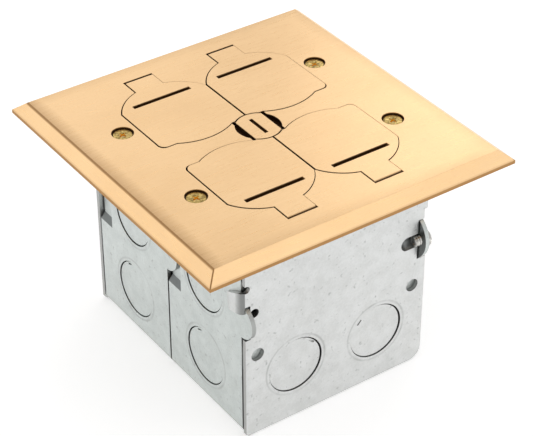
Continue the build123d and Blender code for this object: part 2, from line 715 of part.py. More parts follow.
def box_ground_screw(side_y):
    """Hexagon-head bonding screw in the bottom of a body."""
    y = side_y * gang_y
    head = Pos(ground_hole_x, y, sheet) * extrude(
        RegularPolygon(ground_screw_head_radius, 6), ground_screw_head_thickness)
    shank = rod_z(ground_hole_x, y, ground_screw_radius, 0.1, sheet + 1)
    slot = block(ground_hole_x - 5, ground_hole_x + 5, y - screw_slot_width / 2, y + screw_slot_width / 2,
                 sheet + ground_screw_head_thickness - screw_slot_depth, sheet + 6)
    return whole(head + shank - slot)


def make_strap():
    """Steel mounting strap with a window over each outlet and a bent lug for the earth screw."""
    strap = block(-strap_length / 2, strap_length / 2, -strap_width / 2, strap_width / 2,
                  box_depth, strap_top)
    strap = fillet(strap.edges().filter_by(Axis.Z), strap_corner)
    for x in outlet_places:
        window = block(x - outlet_half_height + 1, x + outlet_half_height - 1,
                       -strap_width / 2 + strap_rail, strap_width / 2 - strap_rail,
                       box_depth - 1, strap_top + 1)
        strap -= fillet(window.edges().filter_by(Axis.Z), 1.5)
    for side_x in (-1, 1):
        slot = Pos(side_x * cover_screw_spacing / 2, 0, box_depth - 1) * extrude(
            SlotOverall(strap_slot_length, 2 * (cover_screw_radius + screw_clearance)), 4)
        strap -= slot
    strap -= rod_z(0, 0, terminal_screw_radius, box_depth - 1, strap_top + 1)
    lug_x0, lug_x1 = lug_middle_x - lug_length / 2, lug_middle_x + lug_length / 2
    strap += block(lug_x0, lug_x1, lug_y, -strap_width / 2 + 1, box_depth, strap_top)
    strap += block(lug_x0, lug_x1, lug_y, lug_y + strap_thickness, box_depth - terminal_lug_drop, strap_top)
    strap -= rod_y(lug_middle_x, lug_screw_z, terminal_screw_radius, lug_y - 1, lug_y + 3)
    return whole(strap)


def make_strap_screw():
    """Green earthing screw in the strap's bent lug."""
    x, z, half_slot = lug_middle_x, lug_screw_z, screw_slot_width / 2
    head = rod_y(x, z, terminal_head_radius - lug_screw_trim, lug_y - terminal_head_thickness, lug_y)
    shank = rod_y(x, z, terminal_screw_radius, lug_y - 0.5, lug_y + strap_thickness + 1.2)
    slot = block(x - 5, x + 5, lug_y - 3, lug_y - terminal_head_thickness + screw_slot_depth,
                 z - half_slot, z + half_slot)
    return whole(head + shank - slot)


def lug_room(z0, z1, reach):
    """Corner of the moulding left open for the earthing lug and its screw."""
    return block(-housing_length / 2 - 1, lug_middle_x + 4.4, -housing_width / 2 - 1,
                 -strap_width / 2 + reach, z0, z1)


def make_outlet_face():
    """Moulded front: two rounded outlet faces joined by side strips that span the strap."""
    slab = block(-housing_length / 2, housing_length / 2, -housing_width / 2, housing_width / 2,
                 box_depth, strap_top)
    slab = fillet(slab.edges().filter_by(Axis.Z), housing_fillet)
    half_channel = strap_width / 2 + face_strap_gap
    slab -= block(-housing_length, housing_length, -half_channel, half_channel, box_depth - 1, strap_top + 1)
    slab -= lug_room(box_depth - 1, strap_top + 1, 1.0)
    front = slab
    for x in outlet_places:
        pad = Pos(x, 0) * Circle(outlet_radius)
        pad &= Pos(x, 0) * Rectangle(2 * outlet_half_height, 3 * outlet_radius)
        pad = Pos(0, 0, strap_top) * extrude(pad, outlet_lift)
        pad = chamfer(pad.faces().sort_by(Axis.Z)[-1].edges(), 0.5)
        front = front + pad
    for x in outlet_places:
        blades_x = x + blade_offset_x
        for side_y, length in ((-1, hot_slot_length), (1, neutral_slot_length)):
            y = side_y * blade_offset_y
            front -= block(blades_x - length / 2, blades_x + length / 2, y - blade_slot_width / 2,
                           y + blade_slot_width / 2, box_depth - 1, outlet_top + 1)
        pin_x = blades_x - ground_pin_distance
        hole = Pos(pin_x, 0) * Circle(ground_hole_radius)
        hole += Pos(pin_x + ground_hole_radius / 2, 0) * Rectangle(ground_hole_radius, 2 * ground_hole_radius)
        front -= Pos(0, 0, box_depth - 1) * extrude(hole, 8)
    for side_y in (-1, 1):
        front -= rod_z(0, side_y * rivet_spread_y, rivet_radius, box_depth - 1, strap_top + 1)
    return whole(front)


def make_housing():
    """Moulded rear housing with the chambers for its contacts and open terminal sides."""
    half_x, half_y = housing_length / 2, housing_width / 2
    housing = block(-half_x, half_x, -half_y, half_y, housing_bottom, box_depth)
    housing = fillet(housing.edges().filter_by(Axis.Z), housing_fillet)
    housing = fillet(housing.faces().sort_by(Axis.Z)[0].edges(), housing_fillet * 0.8)
    housing -= lug_room(box_depth - terminal_lug_drop - 3, box_depth + 1, -0.6)
    room = contact_clearance
    for side_y in (-1, 1):
        side_wall = side_y * (half_y - terminal_recess_depth)
        for x in outlet_places:
            length = neutral_slot_length
            blades_x = x + blade_offset_x
            y = side_y * blade_offset_y
            reach = blade_slot_width / 2 + contact_strip + room
            housing -= block(blades_x - length / 2 - room, blades_x + length / 2 + room,
                             y - reach, y + reach, contact_base_z - room, box_depth + 1)
            housing -= block(blades_x - length / 2 - room, blades_x + length / 2 + room,
                             y, side_y * (half_y + 1), contact_base_z - room,
                             contact_base_z + contact_strip + room)
        recess = block(-contact_start_x - terminal_recess_margin, contact_end_x + terminal_recess_margin,
                       side_wall, side_y * (half_y + 2),
                       contact_base_z - room, contact_base_z + terminal_recess_height)
        recess -= block(-rivet_rib_half_width, rivet_rib_half_width,
                        side_y * (rivet_spread_y - rivet_radius - rivet_rib_skin), side_y * (half_y + 3),
                        housing_bottom, box_depth)
        housing -= recess
        housing -= rod_z(0, side_y * rivet_spread_y, rivet_radius, housing_bottom - 1, box_depth + 1)
    for x in outlet_places:
        pin_x = x + blade_offset_x - ground_pin_distance
        reach = ground_hole_radius + contact_strip + room
        housing -= block(pin_x - reach, pin_x + reach, -reach, reach, contact_base_z - room, box_depth + 1)
    first, last = [x + blade_offset_x - ground_pin_distance for x in outlet_places]
    half_strip = ground_strip_width / 2 + room
    housing -= block(first, last, -half_strip, half_strip,
                     contact_base_z - room, contact_base_z + contact_strip + room)
    return whole(housing)


def make_live_contacts(side_y, slot_length):
    """Brass strip of one side: a spring clip under each slot and the plate its screws go into."""
    plate_y = contact_plate_y
    strip = block(-contact_start_x, contact_end_x, plate_y, plate_y + contact_strip,
                  contact_base_z, contact_base_z + terminal_recess_height - 1)
    for x in outlet_places:
        blades_x = x + blade_offset_x
        x0, x1 = blades_x - slot_length / 2, blades_x + slot_length / 2
        inner = blade_offset_y - blade_slot_width / 2
        outer = blade_offset_y + blade_slot_width / 2
        top = contact_base_z + contact_height
        strip += block(x0, x1, inner - contact_strip, plate_y + 0.1, contact_base_z,
                       contact_base_z + contact_strip)
        strip += block(x0, x1, inner - contact_strip, inner, contact_base_z, top)
        strip += block(x0, x1, outer, outer + contact_strip, contact_base_z, top)
        strip -= rod_y(x, contact_base_z + terminal_screw_rise, terminal_screw_radius,
                       plate_y - 3, plate_y + 3)
    strip = whole(strip)
    return mirror(strip, Plane.XZ) if side_y < 0 else strip


def terminal_screws(side_y):
    """Two binding screws on one side of the housing."""
    plate_y = contact_plate_y + contact_strip
    z, half_slot = contact_base_z + terminal_screw_rise, screw_slot_width / 2
    screws = []
    for x in outlet_places:
        head = rod_y(x, z, terminal_head_radius, plate_y, plate_y + terminal_head_thickness)
        shank = rod_y(x, z, terminal_screw_radius, plate_y - contact_strip, plate_y + 0.5)
        slot = block(x - 5, x + 5, plate_y + terminal_head_thickness - screw_slot_depth, plate_y + 5,
                     z - half_slot, z + half_slot)
        screw = whole(head + shank - slot)
        screws.append(mirror(screw, Plane.XZ) if side_y < 0 else screw)
    return screws


def make_ground_contacts():
    """Earth strip with a square sleeve under each earth hole."""
    xs = [x + blade_offset_x - ground_pin_distance for x in outlet_places]
    strip = block(xs[0], xs[1], -ground_strip_width / 2, ground_strip_width / 2,
                  contact_base_z, contact_base_z + contact_strip)
    reach = ground_hole_radius + contact_strip
    for x in xs:
        sleeve = block(x - reach, x + reach, -reach, reach, contact_base_z, contact_base_z + contact_height)
        sleeve -= block(x - ground_hole_radius, x + ground_hole_radius, -ground_hole_radius,
                        ground_hole_radius, contact_base_z + contact_strip, box_depth)
        strip += sleeve
    return whole(strip)


def make_rivets():
    """Two round-headed rivets that hold front, strap and housing together."""
    rivets = []
    for side_y in (-1, 1):
        y = side_y * rivet_spread_y
        rivet = rod_z(0, y, rivet_radius, housing_bottom, strap_top)
        rivet += rod_z(0, y, rivet_head_radius, strap_top, strap_top + rivet_head_thickness)
        rivets.append(whole(rivet))
    return rivets


os.makedirs("parts", exist_ok=True)

save("cover_plate", make_cover())
for number, (side_x, side_y) in QUADRANTS.items():
    save(f"flip_lid_{number}", make_lid(side_x, side_y))
save("lid_hinge_pins", *make_hinge_pins())
save("lock_cam", make_lock_cam())
save("lock_washer", make_lock_washer())
save("lock_stop_arm", make_lock_arm())
save("lock_nut", make_lock_nut())
save("cover_gasket", make_gasket())
save("cover_screws", *[cover_screw(x, y) for x, y in screw_places()])
save("box_body_back", make_body(1))
save("box_body_front", make_body(-1))
save("side_plate_front", make_front_plate())
save("side_plate_back", make_back_plate())
save("ganging_screws", ganging_screw(screw_ear_outer_x, front_screw_y),
     ganging_screw(wall_out_high, seam_screw_y), ganging_screw(wall_out_high, back_screw_y))
save("box_ground_screws", box_ground_screw(1), box_ground_screw(-1))

for place, side_y in (("back", 1), ("front", -1)):
    at = Pos(0, side_y * gang_y, 0)
    save(f"receptacle_{place}_strap", at * make_strap())
    save(f"receptacle_{place}_face", at * make_outlet_face())
    save(f"receptacle_{place}_housing", at * make_housing())
    save(f"receptacle_{place}_hot_contacts", at * make_live_contacts(-1, hot_slot_length))
    save(f"receptacle_{place}_neutral_contacts", at * make_live_contacts(1, neutral_slot_length))
    save(f"receptacle_{place}_ground_contacts", at * make_ground_contacts())
    save(f"receptacle_{place}_hot_screws", *[at * screw for screw in terminal_screws(-1)])
    save(f"receptacle_{place}_neutral_screws", *[at * screw for screw in terminal_screws(1)])
    save(f"receptacle_{place}_ground_screw", at * make_strap_screw())
    save(f"receptacle_{place}_rivets", *[at * rivet for rivet in make_rivets()])
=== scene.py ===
from math import cos, pi, radians, sin

import bpy
from mathutils import Matrix, Vector


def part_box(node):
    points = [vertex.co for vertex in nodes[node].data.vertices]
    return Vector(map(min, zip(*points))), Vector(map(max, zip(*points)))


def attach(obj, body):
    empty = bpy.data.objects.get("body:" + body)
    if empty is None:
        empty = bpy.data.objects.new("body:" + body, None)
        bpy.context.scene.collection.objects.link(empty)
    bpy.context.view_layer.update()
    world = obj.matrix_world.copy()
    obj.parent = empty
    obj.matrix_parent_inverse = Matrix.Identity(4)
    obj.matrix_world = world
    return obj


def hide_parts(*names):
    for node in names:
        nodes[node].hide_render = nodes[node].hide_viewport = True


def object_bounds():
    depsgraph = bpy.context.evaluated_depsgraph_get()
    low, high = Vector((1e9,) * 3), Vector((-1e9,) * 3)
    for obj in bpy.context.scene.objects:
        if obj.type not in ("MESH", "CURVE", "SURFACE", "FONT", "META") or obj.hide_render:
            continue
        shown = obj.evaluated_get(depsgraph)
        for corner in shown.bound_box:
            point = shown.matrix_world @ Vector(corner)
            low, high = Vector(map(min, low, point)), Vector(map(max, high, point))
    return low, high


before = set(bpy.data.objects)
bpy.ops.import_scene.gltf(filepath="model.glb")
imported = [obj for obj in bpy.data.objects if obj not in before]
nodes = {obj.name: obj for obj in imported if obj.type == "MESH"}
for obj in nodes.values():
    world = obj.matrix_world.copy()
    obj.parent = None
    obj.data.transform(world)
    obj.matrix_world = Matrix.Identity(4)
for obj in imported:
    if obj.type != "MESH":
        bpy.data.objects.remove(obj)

cad_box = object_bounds()
scene = bpy.context.scene
millimetre = 0.001


# Box bodies: two U-shaped gangs folded from galvanised sheet, with knockouts, ears and recesses.
# The zinc shows faint flowers, handling scratches and small dark specks.
def new_material(name, colour, metallic, roughness):
    material = bpy.data.materials.new(name)
    material.use_nodes = True
    shader = material.node_tree.nodes["Principled BSDF"]
    shader.inputs["Base Color"].default_value = (*colour, 1.0)
    shader.inputs["Metallic"].default_value = metallic
    shader.inputs["Roughness"].default_value = roughness
    return material


def add_node(material, kind, **inputs):
    """A shader node with named inputs, each a value or another node's output."""
    node = material.node_tree.nodes.new("ShaderNode" + kind)
    for name, value in inputs.items():
        socket = node.inputs[int(name[1:])] if name[0] == "_" else node.inputs[name.replace("_", " ")]
        if isinstance(value, bpy.types.NodeSocket):
            material.node_tree.links.new(value, socket)
        else:
            socket.default_value = value
    return node


def grain(material, size, stretch=(1, 1, 1), detail=2.0, turn=(0, 0, 0)):
    """Noise of a size in millimetres over the piece, drawn out along the axes by stretch."""
    place = add_node(material, "TexCoord").outputs["Object"]
    turned = add_node(material, "Mapping", Vector=place, Rotation=turn)
    scale = [1 / (size * millimetre * part) for part in stretch]
    drawn = add_node(material, "Mapping", Vector=turned.outputs["Vector"], Scale=scale)
    noise = add_node(material, "TexNoise", Vector=drawn.outputs["Vector"], Scale=1.0, Detail=detail)
    return noise.outputs["Fac"]


def fade(material, source, low, high, start=0.0, end=1.0):
    """Maps low to start and high to end, and holds both beyond."""
    node = add_node(material, "MapRange", Value=source)
    for name, value in (("From Min", low), ("From Max", high), ("To Min", start), ("To Max", end)):
        node.inputs[name].default_value = value
    return node.outputs["Result"]


def tint(material, factor, first, second):
    """Goes from the first colour to the second as the factor rises."""
    node = add_node(material, "Mix", Factor=factor)
    node.data_type = "RGBA"
    for socket, colour in ((node.inputs[6], first), (node.inputs[7], second)):
        if isinstance(colour, bpy.types.NodeSocket):
            material.node_tree.links.new(colour, socket)
        else:
            socket.default_value = (*colour, 1.0)
    return node.outputs[2]


def reckon(material, operation, first, second=0.0):
    node = add_node(material, "Math", _0=first, _1=second)
    node.operation = operation
    return node.outputs["Value"]


def relief(material, height, depth, below=None):
    """Bump of a depth in millimetres, over the normal that lies below it."""
    node = add_node(material, "Bump", Height=height, Distance=depth * millimetre)
    if below:
        material.node_tree.links.new(below, node.inputs["Normal"])
    return node.outputs["Normal"]


def soft_edge(material, radius):
    """Normal of edges broken by a radius in millimetres."""
    node = add_node(material, "Bevel", Radius=radius * millimetre)
    node.samples = 6
    return node.outputs["Normal"]


def finish(material, colour=None, roughness=None, normal=None):
    shader = material.node_tree.nodes["Principled BSDF"]
    for name, source in (("Base Color", colour), ("Roughness", roughness), ("Normal", normal)):
        if source:
            material.node_tree.links.new(source, shader.inputs[name])


def dress(material, *names):
    """Gives CAD nodes a material."""
    for name in names:
        nodes[name].data.materials.clear()
        nodes[name].data.materials.append(material)


def part_of(material, source, axis):
    return add_node(material, "SeparateXYZ", Vector=source).outputs[axis]


def place_and_facing(material):
    """The point on the piece and its normal, each in three parts."""
    source = add_node(material, "TexCoord")
    point, normal = source.outputs["Object"], source.outputs["Normal"]
    return [[part_of(material, whole, axis) for axis in "XYZ"] for whole in (point, normal)]


def chain(material, operation, first, *others):
    for other in others:
        first = reckon(material, operation, first, other)
    return first


def near(material, source, middle, reach, softness, strength=1.0):
    """The strength within a reach of the middle, falling to nothing over the softness, in metres."""
    off = reckon(material, "ABSOLUTE", reckon(material, "SUBTRACT", source, middle))
    return fade(material, off, reach, reach + softness, strength, 0.0)


def mix_by(material, colour, *layers):
    """Lays colours over a base, each by its own factor."""
    for factor, laid in layers:
        colour = tint(material, factor, colour, laid)
    return colour


def knockout_ring_shade(material, first, second, middles):
    """Faint broken rings of painted shade, where a pressed ring would shade, round the knockouts' middles in
    one plane.
    """
    ring_radius = 12.6 * millimetre
    rings = 0.0
    for middle in middles:
        offset = [reckon(material, "SUBTRACT", *pair) for pair in zip((first, second), middle)]
        squares = [reckon(material, "MULTIPLY", part, part) for part in offset]
        reach = reckon(material, "SQRT", reckon(material, "ADD", *squares))
        rings = reckon(material, "MAXIMUM", rings,
                       near(material, reach, ring_radius, 0.1 * millimetre, 0.5 * millimetre))
    return reckon(material, "MULTIPLY", rings, fade(material, grain(material, 6.0), 0.35, 0.65, 0.15, 0.65))


def zinc_coat(name, light, dark):
    """Zinc on sheet: cloudy flowers, fine grain, scratches and specks. Gives its colour as well."""
    material = new_material(name, light, 1.0, 0.45)
    flowers, cloud, fine = (grain(material, 5.0, detail=5.0), grain(material, 22.0),
                            grain(material, 0.75, detail=3.0))
    shares = ((flowers, 0.45), (cloud, 0.25), (fine, 0.30))
    mottle = chain(material, "ADD", *(reckon(material, "MULTIPLY", noise, share) for noise, share in shares))
    colour = tint(material, fade(material, mottle, 0.40, 0.60), dark, light)
    scratch = grain(material, 0.9, (0.25, 0.25, 16.0), detail=1.0, turn=(0.5, 0.35, 0.2))
    colour = mix_by(material, colour, (fade(material, scratch, 0.64, 0.78, 0.0, 0.55), dark),
                    (fade(material, grain(material, 1.9), 0.63, 0.78, 0.0, 0.85), zinc_speck))
    skin = relief(material, fine, 0.03, soft_edge(material, 0.25))
    finish(material, None, fade(material, mottle, 0.38, 0.62, 0.36, 0.52),
           relief(material, flowers, 0.06, skin))
    return material, colour


zinc_speck = (0.40, 0.41, 0.40)
# Painted shade for the faint rings round the knockouts.
ring_shade_zinc = (0.38, 0.39, 0.38)
# Cut edges: bare sheared steel, darkened further as painted shade in the seam and gaps.
sheared_and_shaded_edge = (0.34, 0.34, 0.33)
fold_shade_zinc = (0.42, 0.42, 0.38)
shaded_zinc = (0.15, 0.16, 0.16)
ear_shade_zinc = (0.10, 0.105, 0.105)
bend_shade_zinc = (0.18, 0.185, 0.18)
body_steel, body_zinc = zinc_coat("galvanised_body", (0.665, 0.70, 0.685), (0.545, 0.58, 0.565))
(x, y, z), (x_facing, y_facing, z_facing) = place_and_facing(body_steel)
bare_share = 0.75
walls_middle_x, walls_inner_reach = -0.7 * millimetre, 37.2 * millimetre
between_walls = near(body_steel, x, walls_middle_x, walls_inner_reach, 0.2 * millimetre, bare_share)
body_edges = reckon(body_steel, "MULTIPLY", reckon(body_steel, "SUBTRACT", bare_share, between_walls),
                    fade(body_steel, reckon(body_steel, "ABSOLUTE", y_facing), 0.5, 0.7))
gang_middle, low_knockout, high_knockout = 23.55 * millimetre, 19.8 * millimetre, 52.6 * millimetre
end_knockouts = [(y_middle, z_middle) for y_middle in (-gang_middle, gang_middle)
                 for z_middle in (low_knockout, high_knockout)]
# Painted shade along the bottom fold of the walls.
fold_top = 2.2 * millimetre
bottom_fold_shade = fade(body_steel, z, fold_top, fold_top + 1.0 * millimetre, 0.45, 0.0)
# Painted shade on the recess ramps, which sit under the cover's overhang.
recess_ramp_shade = chain(body_steel, "MULTIPLY", fade(body_steel, z_facing, 0.15, 0.3),
                    fade(body_steel, z_facing, 0.9, 0.95, 1.0, 0.0),
                    fade(body_steel, x_facing, -0.35, -0.3, 0.8, 0.0))
# Painted shade on the ear's inner face, beside the ganging screw.
ear_inner_x, ear_face_y = 34.0 * millimetre, -48.8 * millimetre
ear_back_shade = chain(body_steel, "MULTIPLY", fade(body_steel, x, ear_inner_x, ear_inner_x + 0.5 * millimetre),
                 fade(body_steel, y, ear_face_y - 0.4 * millimetre, ear_face_y, 1.0, 0.0),
                 fade(body_steel, x_facing, -0.6, -0.5, 0.85, 0.0))
end_ring_shade = knockout_ring_shade(body_steel, y, z, end_knockouts)
finish(body_steel, mix_by(body_steel, body_zinc, (end_ring_shade, ring_shade_zinc), (bottom_fold_shade, fold_shade_zinc),
                          (recess_ramp_shade, shaded_zinc), (ear_back_shade, ear_shade_zinc), (body_edges, sheared_and_shaded_edge)))
dress(body_steel, "box_body_front", "box_body_back")


# Side plates: flat galvanised sheets that close both outer sides of the pair of gangs.
# Each hooks round one end wall by its tab and is drawn up by one screw at the other.
plate_steel, plate_zinc = zinc_coat("galvanised_plate", (0.74, 0.75, 0.745), (0.63, 0.64, 0.63))
(x, y, z), plate_facing = place_and_facing(plate_steel)
wall_face, plate_face = -39.7 * millimetre, 49.15 * millimetre
past_wall = fade(plate_steel, x, wall_face - 0.1 * millimetre, wall_face, 1.0, 0.0)
# The plate's cut edges take the same colour, bare steel deepened by painted shade.
plate_edges = chain(plate_steel, "MULTIPLY", reckon(plate_steel, "SUBTRACT", 1.0, past_wall),
                    fade(plate_steel, reckon(plate_steel, "ABSOLUTE", plate_facing[1]),
                         0.3, 0.5, bare_share, 0.0))
# Painted shade across the hook tab's bend at the end wall's corner.
bend_start, bend_end = plate_face - 3.4 * millimetre, plate_face - 0.6 * millimetre
hook_bend_shade = reckon(plate_steel, "MULTIPLY", past_wall,
                   fade(plate_steel, reckon(plate_steel, "ABSOLUTE", y), bend_start, bend_end, 0.0, 0.85))
plate_knockouts = [(-18.5 * millimetre, 23.1 * millimetre), (16.9 * millimetre, 21.8 * millimetre)]
# Painted shade in the pressed groove round the ganging screw's tip.
groove_start, groove_z, groove_half_height = 26.2 * millimetre, 55.0 * millimetre, 2.8 * millimetre
groove_floor, groove_lip = plate_face - 1.4 * millimetre, plate_face - 0.2 * millimetre
screw_groove_shade = chain(plate_steel, "MULTIPLY",
                     fade(plate_steel, x, groove_start, groove_start + 0.8 * millimetre),
                     near(plate_steel, z, groove_z, groove_half_height, 0.4 * millimetre),
                     fade(plate_steel, reckon(plate_steel, "ABSOLUTE", y), groove_floor, groove_lip,
                          0.8, 0.0))
plate_ring_shade = knockout_ring_shade(plate_steel, x, z, plate_knockouts)
finish(plate_steel, mix_by(plate_steel, plate_zinc, (plate_ring_shade, ring_shade_zinc), (hook_bend_shade, bend_shade_zinc),
                           (screw_groove_shade, shaded_zinc), (plate_edges, sheared_and_shaded_edge)))
dress(plate_steel, "side_plate_front", "side_plate_back")


# Ganging screws: three zinc-plated slotted screws that draw the ears and side plates together.
# Each is turned to a rounded head with a threaded shank and a pointed-off tip.
def turned_piece(name, outline, sides=36):
    """Draws a disc up the Z axis through pairs of height and radius, in metres."""
    bpy.ops.object.select_all(action="DESELECT")
    height, radius = outline[0]
    bpy.ops.mesh.primitive_circle_add(vertices=sides, radius=radius, fill_type="NGON",
                                      location=(0, 0, height))
    piece = bpy.context.object
    piece.name = name
    bpy.ops.object.transform_apply(location=True)
    bpy.ops.object.mode_set(mode="EDIT")
    bpy.ops.mesh.select_all(action="SELECT")
    for next_height, next_radius in outline[1:]:
        bpy.ops.mesh.extrude_region_move(TRANSFORM_OT_translate={"value": (0, 0, next_height - height)})
        growth = next_radius / radius
        bpy.ops.transform.resize(value=(growth, growth, 1), center_override=(0, 0, next_height))
        height, radius = next_height, next_radius
    bpy.ops.mesh.select_all(action="SELECT")
    bpy.ops.mesh.normals_make_consistent(inside=False)
    bpy.ops.object.mode_set(mode="OBJECT")
    return piece


def cut_away(piece, cutter):
    """Cuts the cutter's shape out of the piece and drops the cutter."""
    cut = piece.modifiers.new("cut", "BOOLEAN")
    cut.object = cutter
    cut.solver = "EXACT"
    bpy.ops.object.select_all(action="DESELECT")
    piece.select_set(True)
    bpy.context.view_layer.objects.active = piece
    bpy.ops.object.modifier_apply(modifier=cut.name)
    bpy.data.objects.remove(cutter)


def cutting_block(size, place, turn=0.0):
    bpy.ops.object.select_all(action="DESELECT")
    bpy.ops.mesh.primitive_cube_add(size=1.0, location=place, rotation=(0, 0, turn))
    cutter = bpy.context.object
    cutter.scale = size
    bpy.ops.object.transform_apply(location=True, rotation=True, scale=True)
    return cutter


def break_edges(piece, width, segments=2, angle=35):
    """Rounds the sharp edges and shades the rest smooth."""
    bevel = piece.modifiers.new("edges", "BEVEL")
    bevel.width = width
    bevel.segments = segments
    bevel.limit_method = "ANGLE"
    bevel.angle_limit = radians(angle)
    bpy.ops.object.select_all(action="DESELECT")
    piece.select_set(True)
    bpy.context.view_layer.objects.active = piece
    bpy.ops.object.modifier_apply(modifier=bevel.name)
    bpy.ops.object.shade_smooth_by_angle(angle=radians(angle))


def copy_to(piece, name, place, turn=(0, 0, 0)):
    """A copy with its own mesh, turned and moved to its place."""
    copy = piece.copy()
    copy.data = piece.data.copy()
    copy.name = name
    scene.collection.objects.link(copy)
    copy.location = place
    copy.rotation_euler = turn
    bpy.ops.object.select_all(action="DESELECT")
    copy.select_set(True)
    bpy.context.view_layer.objects.active = copy
    bpy.ops.object.transform_apply(location=True, rotation=True, scale=True)
    return copy


def thread(start, end, pitch, crest, root):
    """Heights and radii of a thread's ridges from start up to end."""
    ridges = []
    height = start
    while height + pitch < end:
        ridges += [(height, root), (height + 0.42 * pitch, crest), (height + 0.58 * pitch, crest)]
        height += pitch
    return ridges + [(height, root)]


screw_zinc = new_material("zinc_plated_screw", (0.62, 0.61, 0.58), 1.0, 0.24)
zinc_wear = grain(screw_zinc, 1.2, detail=3.0)
screw_place = add_node(screw_zinc, "TexCoord").outputs["Object"]
screw_tone = tint(screw_zinc, fade(screw_zinc, zinc_wear, 0.4, 0.7), (0.66, 0.65, 0.62),
                  (0.40, 0.385, 0.36))
tip_x = 32.25 * millimetre
tip_face = fade(screw_zinc, part_of(screw_zinc, screw_place, "X"), tip_x, tip_x + 0.35 * millimetre, 0.8, 0.0)
finish(screw_zinc, tint(screw_zinc, tip_face, screw_tone, (0.10, 0.10, 0.10)),
       fade(screw_zinc, zinc_wear, 0.3, 0.7, 0.16, 0.34), relief(screw_zinc, zinc_wear, 0.02))

ganging_low, ganging_high = (Vector(corner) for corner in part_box("ganging_screws"))
ganging_radius = 2.08 * millimetre
ganging_head_radius = (ganging_high.z - ganging_low.z) / 2
ganging_head_height = 2.2 * millimetre
ganging_length = 4.4 * millimetre
ganging_slot = 1.1 * millimetre
ganging_root = 0.82 * ganging_radius
ganging_pitch = 0.95 * millimetre
head_rim, head_crown, crown_inset, crown_steps = 0.8 * millimetre, 1.4 * millimetre, 1.5 * millimetre, 6
shank_outline = [(0.0, 0.72 * ganging_root)]
shank_outline += thread(0.3 * millimetre, ganging_length - 0.1 * millimetre, ganging_pitch,
                        ganging_radius, ganging_root)
head_outline = [(ganging_length, ganging_root), (ganging_length, ganging_head_radius),
                (ganging_length + head_rim, ganging_head_radius)]
for step in range(1, crown_steps + 1):
    lean = radians(90 * step / crown_steps)
    head_outline.append((ganging_length + head_rim + head_crown * sin(lean),
                         ganging_head_radius - crown_inset * (1 - cos(lean))))
ganging_screw = turned_piece("ganging_screw", shank_outline + head_outline)
cut_away(ganging_screw, cutting_block((4 * ganging_head_radius, ganging_slot, 2 * ganging_slot),
                                      (0, 0, ganging_length + ganging_head_height), turn=pi / 2))
break_edges(ganging_screw, 0.08 * millimetre)
ganging_screw.data.materials.append(screw_zinc)
inset_y = (ganging_high.y - ganging_low.y) / 2 - ganging_head_radius
middle_y = (ganging_high.y + ganging_low.y) / 2
outer_tip_x = ganging_high.x - ganging_head_height - ganging_length
ganging_places = {"front": (ganging_low.x, middle_y - inset_y), "back": (outer_tip_x, middle_y + inset_y),
                  "seam": (outer_tip_x, middle_y)}
for name, (x, y) in ganging_places.items():
    screw = copy_to(ganging_screw, "ganging_screw_" + name,
                    (x, y, (ganging_low.z + ganging_high.z) / 2), (0, pi / 2, 0))
    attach(screw, "root")
    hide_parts("ganging_screws")
bpy.data.objects.remove(ganging_screw)


# Box ground screws: a green-dyed hexagon screw in each gang's floor for the bonding wire.
# They stand inside, under the receptacles.
def worn_metal(name, bright, worn, size, stretch=(1, 1, 1), roughness=(0.2, 0.38), depth=0.015, metallic=1.0):
    """Metal that goes from its bright to its worn colour by a grain, which also roughens it."""
    material = new_material(name, bright, metallic, sum(roughness) / 2)
    wear = grain(material, size, stretch, detail=3.0)
    finish(material, tint(material, fade(material, wear, 0.4, 0.7), bright, worn),
           fade(material, wear, 0.3, 0.7, *roughness),
           relief(material, wear, depth, soft_edge(material, 0.1)))
    return material


green_dye = worn_metal("green_dyed_screw", (0.09, 0.34, 0.16), (0.28, 0.45, 0.26), 0.9,
                       roughness=(0.3, 0.5), depth=0.02, metallic=0.85)
dress(green_dye, "box_ground_screws", "receptacle_front_ground_screw", "receptacle_back_ground_screw")


# Receptacle housings: black phenolic mouldings that hold the contacts, open at their terminal sides.
# The moulding is satin, with a fine grain and slight flow marks.
def moulding(name, light, dark, roughness):
    material = new_material(name, light, 0.0, roughness)
    flow = grain(material, 9.0, (1.0, 2.5, 1.0), detail=3.0)
    skin = grain(material, 0.35, detail=2.0)
    finish(material, tint(material, fade(material, flow, 0.35, 0.65), dark, light),
           fade(material, skin, 0.3, 0.7, roughness - 0.06, roughness + 0.08),
           relief(material, skin, 0.015, soft_edge(material, 0.2)))
    return material


dress(moulding("black_moulding", (0.035, 0.034, 0.033), (0.022, 0.021, 0.021), 0.45),
      "receptacle_front_housing", "receptacle_back_housing")


# Contacts: spring brass strips, bent up into clips under the slots, with plates for the screws.
# Stamped, so the faces have faint rolling lines.
strip_brass = worn_metal("contact_brass", (0.83, 0.64, 0.32), (0.68, 0.49, 0.22), 0.5, (30.0, 1.0, 1.0),
                         (0.26, 0.4), 0.01)
for side in ("front", "back"):
    for kind in ("hot_contacts", "neutral_contacts", "ground_contacts", "hot_screws", "rivets"):
        dress(strip_brass, f"receptacle_{side}_{kind}")


# Neutral screws: the same binding screws in nickel plate, so that the sides are told apart.
# Their heads are turned bright and scuffed by the screwdriver.
nickel = worn_metal("nickel_plate", (0.75, 0.73, 0.69), (0.58, 0.55, 0.50), 0.8)
dress(nickel, "receptacle_front_neutral_screws", "receptacle_back_neutral_screws")


# Straps: zinc-plated steel bars across each receptacle, windowed for the outlets, bent to the lug.
# They are stamped from rolled strip, whose lines run along them.
strap_zinc = worn_metal("plated_strap", (0.74, 0.74, 0.72), (0.60, 0.59, 0.55), 0.7, (40.0, 1.0, 1.0),
                        (0.3, 0.44), 0.012)
dress(strap_zinc, "receptacle_front_strap", "receptacle_back_strap")


# Receptacle faces: brown thermoplastic outlet faces with their slots, seen when the lids are up.
# They are moulded like the housings, with a satin skin.
dress(moulding("brown_moulding", (0.145, 0.072, 0.040), (0.115, 0.056, 0.030), 0.42),
      "receptacle_front_face", "receptacle_back_face")


